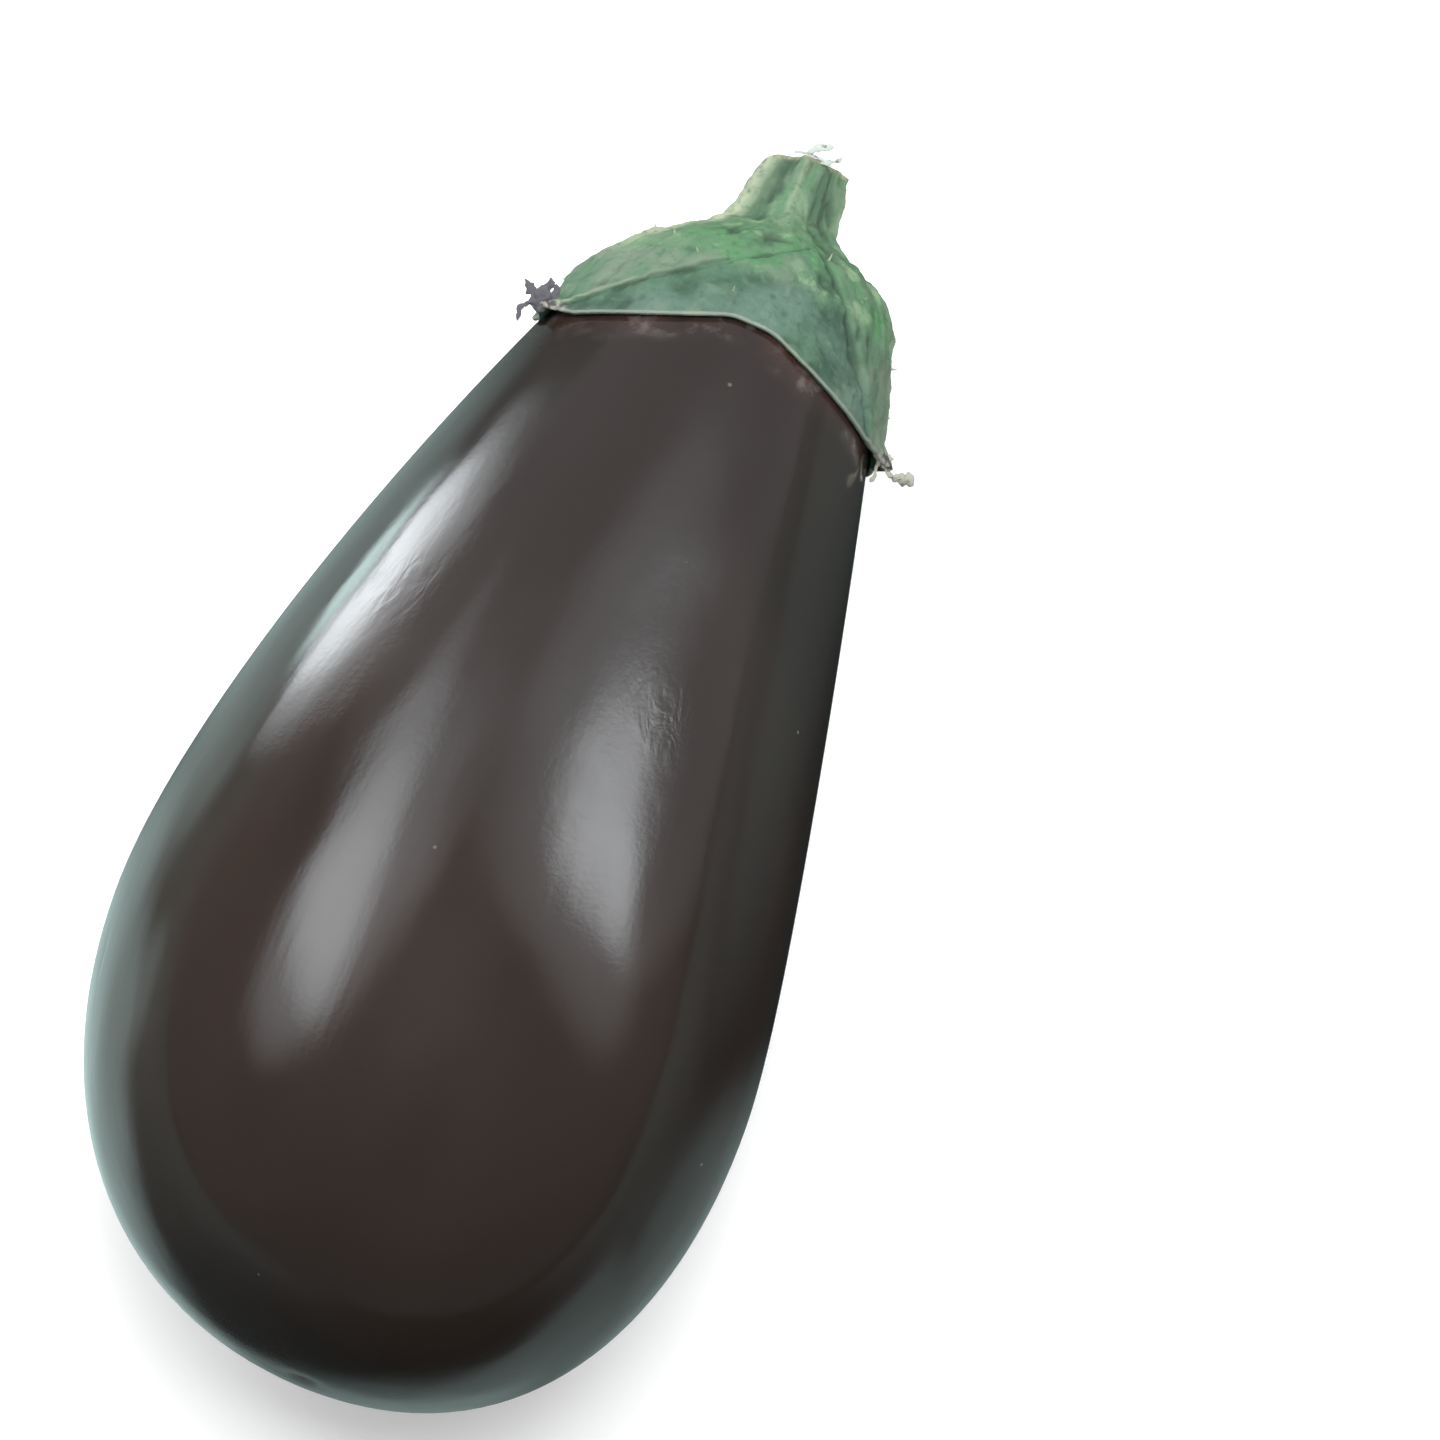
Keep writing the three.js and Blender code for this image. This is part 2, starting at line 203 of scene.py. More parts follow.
PRICKLE_STEP = 0.5 * MM
PRICKLE_ROOT = 0.8 * MM
PRICKLE_TIP_RADIUS = 0.04 * MM
PRICKLE_PALE = 0.7
PRICKLE_LOW = 161 * MM
PRICKLE_HIGH = 177 * MM
PRICKLE_SCATTER = 0.6
PRICKLE_SIDES = 7
GOLDEN_STEP = 0.618034
PLASTIC_STEP = 0.754878

# ---- Dried ends: azimuth and station of the root, colour and strands ----
# Each point of a strand is in mm from the root, and is followed by the strand's width and thickness.

STRAND_ROWS = 24
STRAND_SIDES = 20
ROUNDED_SHARE = 0.2
CRUMPLE = 0.8
CRUMPLE_SIZE = 0.6 * MM
CURL = 0.8
CURL_SIZE = 1.5 * MM
DARK_SCRAPS = (
    ((0.9, -1.2, -0.5, 1, 0.5), (-0.2, 0.3, 0, 2.8, 0.7), (-1.4, 1.2, 0.2, 2.3, 0.6),
     (-2.4, 1.9, 0.4, 1, 0.4), (-3.1, 2.5, 0.5, 0.2, 0.2)),
    ((0.9, -0.6, -0.5, 1.2, 0.5), (0.3, 0.9, 0.1, 2.4, 0.6), (0.3, 2.3, 0.3, 1.7, 0.5),
     (0.6, 3.3, 0.5, 0.9, 0.4), (0.3, 4, 0.6, 0.2, 0.2)),
    ((1.8, 0.2, -0.5, 1.4, 0.6), (1.5, 1.5, 0.1, 1.5, 0.5), (1.7, 2.6, 0.3, 1, 0.4),
     (1.3, 3.4, 0.5, 0.2, 0.2)),
    ((0, -0.4, -0.3, 1, 0.4), (-1.3, -0.5, -0.2, 0.6, 0.3), (-2.3, -1.3, -0.1, 0.9, 0.4),
     (-2.1, -2.6, -0.3, 0.8, 0.3), (-1.9, -3.5, -0.4, 0.2, 0.2)),
)
TAN_CURL = (
    ((-1.9, 1.8, 0, 2.6, 1), (-1.5, 0.6, 0.2, 2.2, 0.8), (-0.6, -0.5, 0.2, 1, 0.6),
     (0.4, -1.2, 0.2, 0.8, 0.7)),
    ((0.2, -1.2, 0.2, 0.9, 0.8), (1.1, -1.1, 0.2, 1.5, 1.3), (2.3, -0.7, 0.2, 2.3, 2),
     (3.4, -0.2, 0.2, 1.7, 1.5)),
    ((-2.2, 1, 0, 1.2, 0.5), (-2.4, -0.6, 0, 0.5, 0.3), (-2.1, -1.8, -0.2, 0.4, 0.3),
     (-2.5, -2.8, -0.4, 0.8, 0.5)),
)
STALK_FIBRES = (
    ((-3.2, 0, -0.4, 0.5, 0.3), (-1, 0.5, -0.2, 0.6, 0.3), (1, 0.4, -0.1, 0.5, 0.3),
     (2.9, -0.2, 0.2, 0.3, 0.2)),
    ((0.2, -0.3, -0.5, 0.5, 0.3), (-1.2, 0.6, 0.2, 0.7, 0.3), (-0.2, 1.6, 0.3, 1.2, 0.3),
     (1.2, 2.2, 0.3, 1.1, 0.3), (2.1, 2.7, 0.3, 0.3, 0.2)),
    ((1, -0.2, -0.4, 0.5, 0.3), (1.9, 0.1, 0.1, 0.9, 0.4), (2.9, 0.5, 0.3, 0.5, 0.3),
     (3.5, 1, 0.4, 0.7, 0.4), (3.8, 1.6, 0.4, 0.2, 0.2)),
)
SHRIVELLED_ENDS = (
    ("dark_scraps", (radians(300), 151.9 * MM), "dry_grey", DARK_SCRAPS),
    ("tan_curl", (radians(82), 152.6 * MM), "dry_tan", TAN_CURL),
    ("stalk_fibres", (radians(10), 191.5 * MM), "dry_pale", STALK_FIBRES),
)

# ---- Stage: places and sizes in metres ----

CAMERA_PLACE = (0.0738, -0.09408, 0.93105)
CAMERA_FORWARD = (-0.0573, 0.1455, -0.9877)
CAMERA_RIGHT = (0.9304, 0.3665, 0)
# Each softbox: name, place, direction of its height, width, height, brightness, soft share and corner.
SOFTBOXES = (
    ("low_strip", (-0.19, 0.133, 0.014), (0.083, 0.587, 0.805), 0.078, 0.119, 5.7, 1, 2),
    ("low_halo", (-0.19, 0.136, 0.027), (0.103, 0.525, 0.845), 0.124, 0.192, 3.4, 1, 2),
    ("left_box", (-0.654, 0.307, 0.705), (-0.008, 0.9, -0.435), 0.5, 1.2, 3.35, 1, 2),
    ("left_halo", (-0.615, 0.23, 0.774), (0.422, 0.902, 0.089), 0.827, 1.58, 1.78, 1, 2),
    ("right_box", (0.521, 0.647, 0.637), (0.841, -0.33, -0.429), 0.302, 0.951, 4.7, 1, 2),
    ("right_halo", (0.449, 0.636, 0.72), (0.899, -0.368, -0.236), 0.771, 2.12, 0.96, 1, 2),
    ("back_wall", (0.06, 1.175, 0.453), (0.997, -0.056, -0.058), 1.36, 4.44, 0.42, 0.8, 4),
)
AIM = (-0.01, 0.01, 0.085)
LAMP_COLOUR = (0.91, 0.96, 1)
FILL_PLACE = (0.01, 0.12, 0.6)
FILL_FACING = (0, 0, -1)
FILL_LONG_SIDE = (0, 1, 0)
FILL_SIZE = 0.36
FILL_LOOK = (0.2, 6)
ROOM_COLOUR = (0.92, 0.97, 1, 1)
FLOOR_SIZE = 3
FLOOR_HEIGHT = -0.05 * MM
FLOOR_LIFT = 0.3
FLOOR_LIFT_COLOUR = (1, 0.98, 0.97, 1)

# The floor as the glossy skin reflects it: dark, with pools of light. Middle, half size and brightness.
CARD_HEIGHT = 0.6 * MM
CARD_DARK = 0.02
CARD_TINT = (0.76, 1, 0.97)
GLOW_CORE = 0.1
FLOOR_GLOWS = (
    (-0.113, -0.055, 0.118, 0.079, 0.9),
    (-0.122, 0.06, 0.107, 0.077, 0.58),
    (-0.283, -0.056, 0.126, 0.059, 0.55),
    (0.002, -0.081, 0.058, 0.024, 0.2),
    (0.169, -0.083, 0.193, 0.106, 0.15),
    (0.113, -0.103, 0.135, 0.043, 0.27),
    (0.092, -0.037, 0.1, 0.047, 0.2),
    (0.132, 0.205, 0.14, 0.198, 0.25),
    (0.768, 0.392, 0.723, 1.066, 0.28),
    (-0.794, -0.181, 0.876, 5.184, 0.26),
    (-0.15, 0.104, 0.033, 0.032, 5),
)


def ramp(value, low, high):
    """0 up to low and 1 from high on, with a smooth step between. Either can be the higher."""
    share = min(1.0, max(0.0, (value - low) / (high - low)))
    return share * share * (3 - 2 * share)


def bell(value, width):
    """1 where the value is 0, falling off on both sides over a width."""
    return exp(-((value / width) ** 2))


def bezier(points, share):
    """A point of a cubic span."""
    start, start_handle, end_handle, end = points
    rest = 1 - share
    near = start * rest**3 + start_handle * (3 * rest**2 * share)
    return near + end_handle * (3 * rest * share**2) + end * share**3


def offset(points, distance):
    """An outline moved outwards by a distance square to itself."""
    moved = []
    for index, point in enumerate(points):
        ahead = points[min(index + 1, len(points) - 1)]
        behind = points[max(index - 1, 0)]
        along = (ahead - behind).normalized()
        moved.append(Vector((point.x + along.y * distance, point.y - along.x * distance)))
    return moved


def outline(spans, steps):
    """Points of joined spans, without the doubled ends. x is a radius and y a station."""
    points = [spans[0][0]]
    for span in spans:
        points.extend(bezier(span, step / steps) for step in range(1, steps + 1))
    return points


class Outline:
    """A row of points with rising stations, read by station."""

    def __init__(self, points):
        self.points = points
        self.stations = [point.y for point in points]

    def radius_at(self, station):
        index = bisect_left(self.stations, station)
        if index == 0:
            return self.points[0].x
        if index == len(self.points):
            return self.points[-1].x
        low, high = self.points[index - 1 : index + 1]
        return low.x + (station - low.y) / (high.y - low.y) * (high.x - low.x)

    def slope_at(self, station):
        """The unit normal of the outline, as its radial part and its part along the axis."""
        drop = self.radius_at(station - SLOPE_STEP) - self.radius_at(station + SLOPE_STEP)
        length = hypot(drop, 2 * SLOPE_STEP)
        return 2 * SLOPE_STEP / length, drop / length


def fruit_spans(fruit):
    """The three spans of the fruit: blossom end to belly, belly to neck, neck to crown."""
    belly = Vector((fruit.belly_radius, fruit.belly_station))
    neck = Vector((fruit.neck_radius, fruit.neck_station))
    crown = Vector((0, fruit.length))
    taper = Vector((-fruit.neck_taper, 1)).normalized()
    tip = Vector((0, BLOSSOM_STATION))
    flat = Vector((fruit.blossom_flatness, BLOSSOM_STATION))
    return (
        (tip, flat, belly - Vector((0, LOWER_BELLY_HANDLE)), belly),
        (belly, belly + Vector((0, UPPER_BELLY_HANDLE)), neck - taper * LOWER_NECK_HANDLE, neck),
        (neck, neck + taper * UPPER_NECK_HANDLE, crown + Vector((CROWN_HANDLE, 0)), crown),
    )


def bend(fruit, radius, station, azimuth):
    """Moves a point of the turned shape to the bowed, slightly angular one."""
    oval = OVAL * cos(2 * (azimuth - OVAL_AZIMUTH))
    three_sided = THREE_SIDED * cos(3 * (azimuth - THREE_SIDED_AZIMUTH))
    girth = radius * (1 + oval + three_sided)
    bow = -fruit.side_bow * sin(pi * (station - BOW_START) / (fruit.length - BOW_START))
    rise = fruit.neck_rise * (station / fruit.length) ** 3
    across = girth * sin(azimuth)
    lean = CROWN_LEAN * ramp(station, fruit.neck_station, fruit.length) * across
    return Vector((bow + across, station + lean, rise + girth * cos(azimuth)))


def lying(fruit):
    """The matrix that lays the grown fruit where the solid fruit lies."""
    turn = Matrix.Rotation(-radians(fruit.droop), 4, "X")
    points = [
        turn @ bend(fruit, point.x, point.y, TURN * side / LYING_SIDES)
        for point in outline(fruit_spans(fruit), CURVE_SAMPLES)
        for side in range(LYING_SIDES)
    ]
    low, high = FRUIT_BOX
    across, along, heights = zip(*points)
    middle_x = (min(across) + max(across)) / 2
    middle_y = (min(along) + max(along)) / 2
    shift = ((low[0] + high[0]) / 2 - middle_x, (low[1] + high[1]) / 2 - middle_y, high[2] - max(heights))
    return Matrix.Translation(shift) @ turn


# ---- Mesh making ----


def turned(rings, sides, place, layers):
    """A closed skin spun from rings. place(ring, azimuth) gives a point and its layer values."""
    bm = bmesh.new()
    verts = [bm.verts.new((0, row, 1)) for row in range(len(rings))]
    edges = [bm.edges.new(pair) for pair in zip(verts, verts[1:])]
    bmesh.ops.spin(bm, geom=verts + edges, axis=(0, 1, 0), angle=TURN, steps=sides, use_merge=True)
    stores = {name: bm.verts.layers.float.new(name) for name in layers}
    for vert in bm.verts:
        azimuth = atan2(vert.co.x, vert.co.z) % TURN
        vert.co, values = place(rings[round(vert.co.y)], azimuth)
        for name, value in values.items():
            vert[stores[name]] = value
    bmesh.ops.remove_doubles(bm, verts=bm.verts[:], dist=POLE_SNAP)
    bmesh.ops.recalc_face_normals(bm, faces=bm.faces[:])
    return bm


def level_sheet(height):
    """A large square that lies level at a height."""
    bm = bmesh.new()
    bmesh.ops.create_grid(bm, x_segments=1, y_segments=1, size=FLOOR_SIZE)
    bmesh.ops.translate(bm, vec=(0, 0, height), verts=bm.verts[:])
    return bm


def to_object(bm, name, material):
    """Makes a smooth-shaded object at the origin of a bmesh."""
    for face in bm.faces:
        face.smooth = True
    mesh = bpy.data.meshes.new(name)
    bm.to_mesh(mesh)
    bm.free()
    mesh.materials.append(material)
    piece = bpy.data.objects.new(name, mesh)
    bpy.context.scene.collection.objects.link(piece)
    return piece


# ---- Shaders ----


def arithmetic(operation, reflected=False):
    """An operator of a Wire, which adds a Math node."""

    def combine(wire, other):
        sockets = {0: other, 1: wire} if reflected else {0: wire, 1: other}
        return wire.shader.node("ShaderNodeMath", {"operation": operation}, sockets)

    return combine


class Wire:
    """A socket of a shader that takes part in arithmetic."""

    def __init__(self, shader, socket):
        self.shader = shader
        self.socket = socket

    __add__ = arithmetic("ADD")
    __radd__ = arithmetic("ADD", reflected=True)
    __sub__ = arithmetic("SUBTRACT")
    __rsub__ = arithmetic("SUBTRACT", reflected=True)
    __mul__ = arithmetic("MULTIPLY")
    __rmul__ = arithmetic("MULTIPLY", reflected=True)
    __pow__ = arithmetic("POWER")


class Shader:
    """The nodes of a material or a lamp, built by expressions."""

    def __init__(self, name, tree=None, surface="Principled BSDF"):
        if tree is None:
            self.material = bpy.data.materials.new(name)
            self.material.use_nodes = True
            tree = self.material.node_tree
        self.tree = tree
        self.surface = tree.nodes[surface]

    def link(self, socket, value):
        if isinstance(value, Wire):
            self.tree.links.new(value.socket, socket)
        else:
            socket.default_value = value

    def node(self, kind, settings=None, sockets=None, output=0):
        """Adds a node: its settings first, then the values or links of its sockets."""
        node = self.tree.nodes.new(kind)
        for name, value in (settings or {}).items():
            setattr(node, name, value)
        for name, value in (sockets or {}).items():
            self.link(node.inputs[name], value)
        return Wire(self, node.outputs[output])

    def finish(self, sockets):
        for name, value in sockets.items():
            self.link(self.surface.inputs[name], value)
        return self.material

    def object_point(self):
        return self.node("ShaderNodeTexCoord", output="Object")

    def stretched(self, scale):
        return self.node("ShaderNodeMapping", None, {"Vector": self.object_point(), "Scale": scale})

    def layer(self, name):
        return self.node("ShaderNodeAttribute", {"attribute_name": name}, output="Fac")

    def x_and_y(self, point):
        """The first two parts of a place."""
        x = self.node("ShaderNodeSeparateXYZ", None, {"Vector": point}, "X")
        return x, Wire(self, x.socket.node.outputs["Y"])

    def noise(self, point, scale, detail=3, distortion=0):
        """Cloudy values between 0 and 1, with scale waves a metre."""
        sockets = {"Vector": point, "Scale": scale, "Detail": detail, "Distortion": distortion}
        return self.node("ShaderNodeTexNoise", None, {**sockets, "Roughness": NOISE_ROUGHNESS})

    def cells(self, point, scale):
        """Distance from the middle of the nearest cell, with scale cells a metre."""
        sockets = {"Vector": point, "Scale": scale}
        return self.node("ShaderNodeTexVoronoi", {"feature": "F1"}, sockets, "Distance")

    def distance(self, point, place):
        return self.node("ShaderNodeVectorMath", {"operation": "DISTANCE"}, {0: point, 1: place}, "Value")

    def step(self, value, low, high):
        """0 below low and 1 above high, or the other way round where low is the higher."""
        sockets = {"Value": value, "From Min": low, "From Max": high}
        return self.node("ShaderNodeMapRange", {"interpolation_type": "SMOOTHSTEP"}, sockets)

    def blend(self, share, first, second):
        """A colour between two others."""
        return self.node("ShaderNodeMix", {"data_type": "RGBA"}, {0: share, 6: first, 7: second}, 2)

    def bump(self, height, depth, normal=None):
        """A Bump node whose height of 1 stands depth metres out."""
        sockets = {"Strength": 1, "Distance": depth, "Height": height}
        if normal is not None:
            sockets["Normal"] = normal
        return self.node("ShaderNodeBump", None, sockets)


def skin_material(tones):
    """Glossy dark skin: brown-plum patches, pale flecks, mottling under the calyx, a corky scar."""
    shader = Shader("eggplant_skin")
    step, blend = shader.step, shader.blend
    point = shader.object_point()
    streaked = shader.stretched((1, 0.35, 1))
    patches = shader.noise(streaked, scale=22, detail=2)
    base = blend(step(patches, 0.35, 0.68), tones.skin_dark, tones.skin_plum)
    below = shader.layer("below_calyx")
    blush = step(below, 6 * MM, 0) * step(shader.noise(streaked, scale=160), 0.3, 0.7)
    base = blend(blush, base, tones.skin_blush)
    mottle = step(below, 6 * MM, 1 * MM) * step(shader.noise(point, scale=260), 0.5, 0.8)
    base = blend(mottle * 0.4, base, tones.skin_fleck)
    spots = shader.cells(point, scale=130)
    chosen = step(shader.noise(point, scale=90, detail=0), 0.62, 0.68)
    fleck = step(spots, 0.045, 0.02) * chosen
    base = blend(fleck * 0.5, base, tones.skin_fleck)
    for place, size in PALE_SPECKS:
        speck = step(shader.distance(point, place), size, 0.4 * size)
        base = blend(speck * 0.3, base, tones.skin_fleck)
    scar = shader.layer("scar")
    cork = shader.noise(point, scale=900)
    base = blend(scar, base, blend(cork, tones.cork_dark, tones.cork_light))
    waves = shader.noise(streaked, scale=70, detail=1)
    pores = shader.noise(point, scale=1400, detail=2)
    dents = step(shader.cells(streaked, scale=75), 0.22, 0.0) * chosen
    scratches = shader.noise(shader.stretched((1, 0.12, 1)), scale=420, detail=2)
    normal = shader.bump(waves, depth=0.5 * MM)
    for height, depth in ((scratches, 0.035 * MM), (pores, 0.012 * MM), (1 - dents, 0.05 * MM)):
        normal = shader.bump(height, depth, normal)
    puckers = shader.noise(shader.stretched((1, 0.3, 1)), scale=330, distortion=1)
    for place, size, depth in PUCKERS:
        near = step(shader.distance(point, place), size, 0.2 * size)
        normal = shader.bump(puckers * near, depth, normal=normal)
    normal = shader.bump(cork * scar, depth=0.5 * MM, normal=normal)
    gloss = 0.13 + 0.08 * step(shader.noise(point, scale=45), 0.4, 0.75)
    sockets = {"Base Color": base, "Roughness": gloss + 0.5 * scar, "Normal": normal}
    return shader.finish({**sockets, "IOR": 1.5, "Coat Weight": 0.3, "Coat Roughness": 0.08})


def calyx_material(tones):
    """Leathery green: blue-green web, sage sepals, yellow-green flare, beige ridges and margins. Painted
    light brightens the flare and ridges, and painted shade darkens hollows and grooves.
    """
    shader = Shader("calyx_green")
    step, blend, layer = shader.step, shader.blend, shader.layer
    point = shader.object_point()
    flare = layer("flare")
    relief = layer("relief")
    cloudy = shader.noise(point, scale=140, detail=4)
    fine = shader.noise(point, scale=900, detail=4)
    broad = shader.noise(point, scale=55, detail=1)
    green = blend(step(cloudy, 0.38, 0.62), tones.web_green, tones.web_dark)
    green = blend(step(broad, 0.42, 0.6) * 0.7, green, tones.web_blue)
    sage = blend(step(cloudy, 0.4, 0.6), tones.sepal_sage, tones.sepal_green)
    base = blend(layer("sepal"), green, sage)
    bright = step(shader.noise(point, scale=95), 0.36, 0.6)
    # Brighter green above the fold: partly the flare's own colour, partly painted light on its
    # upward-facing top.
    base = blend(flare * (0.4 + 0.6 * bright), base, tones.lit_flare_green)
    # Painted highlights: small yellow-green glints on the flare.
    glints = step(shader.noise(point, scale=210, detail=4), 0.53, 0.64) * flare
    base = blend(glints * 0.45, base, tones.flare_painted_glint)
    # Paler sage where the relief stands high.
    raised = step(relief + 0.5 * fine, 0.35, 0.85)
    # Painted shade: darker green where the relief sinks.
    hollow_shade = step(relief - 0.3 * fine, -0.2, -0.65)
    pits = step(shader.noise(point, scale=420, detail=2), 0.67, 0.74)
    margin = step(layer("from_edge") + 0.6 * MM * fine, 0.65 * MM, 0.35 * MM)
    # Dried tips: tan, with painted shade where the fine bump sinks.
    dried = blend(step(fine, 0.4, 0.6), tones.dry_hollow_shade, tones.dry_tan)
    wood = blend(step(fine, 0.4, 0.65), tones.cut_wood, tones.cut_pith)
    # From the lowest coat to the top one: where it lies, and its colour.
    coats = (
        (raised * 0.6, tones.sepal_sage),
        (hollow_shade * 0.7, tones.dark_green_and_shade),
        (pits * 0.4, tones.dark_green_and_shade),
        (step(fine, 0.5, 0.72) * 0.35, tones.sepal_sage),
        (step(fine, 0.45, 0.28) * 0.35, tones.dark_green_and_shade),
        # Painted highlight along the crease.
        (layer("crease_line") * 0.6, tones.ridge_beige_and_highlight),
        # Painted shade in the grooves between the stalk's ridges.
        (layer("groove") * 0.5, tones.dark_green_and_shade),
        # Beige ridges: partly their own colour, partly painted light on the side towards the lamps.
        (layer("ridge") * step(fine, 0.25, 0.55), tones.ridge_beige_and_highlight),
        (margin * 0.7, tones.margin_beige),
        (layer("dry"), dried),
        (layer("cut"), wood),
    )
    for share, tone in coats:
        base = blend(share, base, tone)
    wrinkles = shader.noise(point, scale=380, detail=5)
    normal = shader.bump(wrinkles, depth=0.35 * MM)
    normal = shader.bump(fine, depth=0.12 * MM, normal=normal)
    sockets = {"Base Color": base, "Roughness": 0.55 + 0.2 * fine, "Normal": normal}
    return shader.finish({**sockets, "Specular IOR Level": 0.4})


def husk_material(name, tone, tones):
    """Dried, crumpled husk of one tone, with painted shade in its hollows."""
    shader = Shader(name)
    point = shader.object_point()
    fine = shader.noise(point, scale=900, detail=4)
    # Painted shade: the dark tone fills the hollows of the crumpled bump.
    base = shader.blend(shader.step(fine, 0.3, 0.46), tones.dry_hollow_shade, getattr(tones, tone))
    normal = shader.bump(fine, depth=0.2 * MM)
    return shader.finish({"Base Color": base, "Roughness": 0.75, "Normal": normal})


# ---- What a user would change ----


def length(name, millimetres, description):
    """A size property, whose default is given in millimetres."""
    return bpy.props.FloatProperty(
        name=name, default=millimetres * MM, description=description, unit="LENGTH", precision=4
    )


def number(name, default, description):
    return bpy.props.FloatProperty(name=name, default=default, description=description)


def colour(name, red, green, blue, description):
    default = (red, green, blue, 1)
    return bpy.props.FloatVectorProperty(
        name=name, default=default, description=description, subtype="COLOR", size=4, min=0, max=1
    )


class FruitShape(bpy.types.PropertyGroup):
    """The outline of the fruit and how it lies."""

    length: length("Length", 178.4, "From the blossom end to the crown under the calyx")
    belly_station: length("Belly station", 55.2, "Where the fruit is widest")
    belly_radius: length("Belly radius", 46.65, "Half of the greatest width")
    neck_station: length("Neck station", 157.3, "Where the neck turns into the crown")
    neck_radius: length("Neck radius", 24.5, "Half of the width at the neck station")
    blossom_flatness: length("Blossom flatness", 30.2, "How flat the blossom end is")
    side_bow: length("Side bow", 3.9, "How far the middle of the fruit bows towards -X")
    neck_rise: length("Neck rise", 2, "How far the crown rises from the axis")
    waviness: length("Waviness", 0.16, "Height of the slow waves in the skin")
    scar_radius: length("Scar radius", 2.8, "Radius of the dried scar where the flower was")
    scar_depth: length("Scar depth", 0.3, "Depth of the dent round the scar")
    neck_taper: number("Neck taper", 0.32, "Radius lost for each unit of length along the neck")
    droop: number("Droop", 9.5, "Degrees by which the axis sinks towards the stalk")


class CalyxShape(bpy.types.PropertyGroup):
    """The calyx, its cut stalk and its prickles."""

    edge_thickness: length("Edge thickness", 1.5, "Thickness of a sepal at its edge")
    web_depth: length("Web depth", 0.7, "How much thinner the skin between sepals is")
    stalk_foot_station: length("Stalk foot station", 184, "Where the stalk leaves the flare")
    stalk_foot_radius: length("Stalk foot radius", 7.4, "Radius of the stalk at its foot")
    stalk_end_station: length("Stalk end station", 191.5, "Where the stalk is cut")
    stalk_end_radius: length("Stalk end radius", 6.1, "Radius of the stalk at the cut")
    lump_height: length("Lump height", 0.44, "Height of the leathery lumps")
    fibre_height: length("Fibre height", 0.24, "Height of the fibres along the calyx")
    flute_height: length("Flute height", 0.55, "Height of the broad flutes round the stalk's foot")
    rib_height: length("Rib height", 0.4, "Height of the rib along each sepal")
    prickle_length: length("Prickle length", 1.1, "How far a prickle stands out")
    prickle_radius: length("Prickle radius", 0.38, "Radius of a prickle at its foot")
    prickles: bpy.props.IntProperty(name="Prickles", default=16, description="Number of prickles", min=0)


class SkinColours(bpy.types.PropertyGroup):
    """Colours of the fruit's skin."""

    skin_dark: colour("Dark skin", 0.015, 0.0098, 0.0078, "The darkest skin")
    skin_plum: colour("Plum skin", 0.027, 0.0175, 0.0135, "The browner patches")
    skin_blush: colour("Blush", 0.04, 0.02, 0.016, "Reddish skin just below the calyx")
    skin_fleck: colour("Flecks", 0.26, 0.22, 0.19, "Pale flecks and mottling")
    cork_dark: colour("Dark cork", 0.045, 0.03, 0.022, "The darker cork of the scar")
    cork_light: colour("Light cork", 0.12, 0.085, 0.06, "The lighter cork of the scar")


class CalyxColours(bpy.types.PropertyGroup):
    """Colours of the calyx, the stalk and the dried tips."""

    web_green: colour("Web", 0.058, 0.118, 0.07, "Blue-green skin between the sepals")
    web_dark: colour("Dark web", 0.032, 0.068, 0.042, "Its darker patches")
    web_blue: colour("Blue web", 0.09, 0.145, 0.11, "Its bluer, bloomed patches")
    # Colour of the painted highlights on the flare.
    flare_painted_glint: colour("Flare glints", 0.26, 0.38, 0.2, "Small yellow-green patches of the flare")
    sepal_sage: colour("Sage", 0.127, 0.17, 0.114, "The paler skin of the sepals")
    sepal_green: colour("Sepal", 0.075, 0.145, 0.08, "The greener skin of the sepals")
    # Partly the flare's own green, partly painted light on its upward-facing top.
    lit_flare_green: colour("Flare", 0.068, 0.178, 0.072, "The bright green round the stalk's foot")
    # Dark green of the pits and mottling, and of the painted shade in hollows and grooves.
    dark_green_and_shade: colour("Grooves", 0.02, 0.045, 0.025, "Pits and grooves")
    # Beige of the ridges, partly painted light, and of the painted highlight along the crease.
    ridge_beige_and_highlight: colour("Ridges", 0.3, 0.32, 0.22, "The worn ridges of the stalk")
    margin_beige: colour("Margin", 0.24, 0.235, 0.19, "The thin pale margin")
    cut_wood: colour("Cut wood", 0.2, 0.19, 0.12, "The ring of wood on the cut")
    cut_pith: colour("Cut pith", 0.36, 0.35, 0.25, "The pith of the cut")
    dry_tan: colour("Dry tan", 0.34, 0.33, 0.265, "Dried tips")
    dry_grey: colour("Dry grey", 0.078, 0.073, 0.08, "The dark scraps on one side sepal")
    dry_pale: colour("Dry pale", 0.4, 0.42, 0.37, "The torn fibres of the stalk")
    # Painted shade in the hollows of all dried ends.
    dry_hollow_shade: colour("Dry dark", 0.05, 0.044, 0.047, "The hollows of all dried ends")


class StudioSetup(bpy.types.PropertyGroup):
    """The floor, the lamps and the camera."""

    floor_colour: colour("Floor", 0.9, 0.87, 0.845, "The plain floor")
    lens: number("Lens", 159.5, "Focal length in millimetres on a 36 mm sensor")
    fill: number("Fill", 13, "Brightness of the overhead fill")
    room: number("Room", 0.14, "Brightness of the room")


# ---- Pieces ----


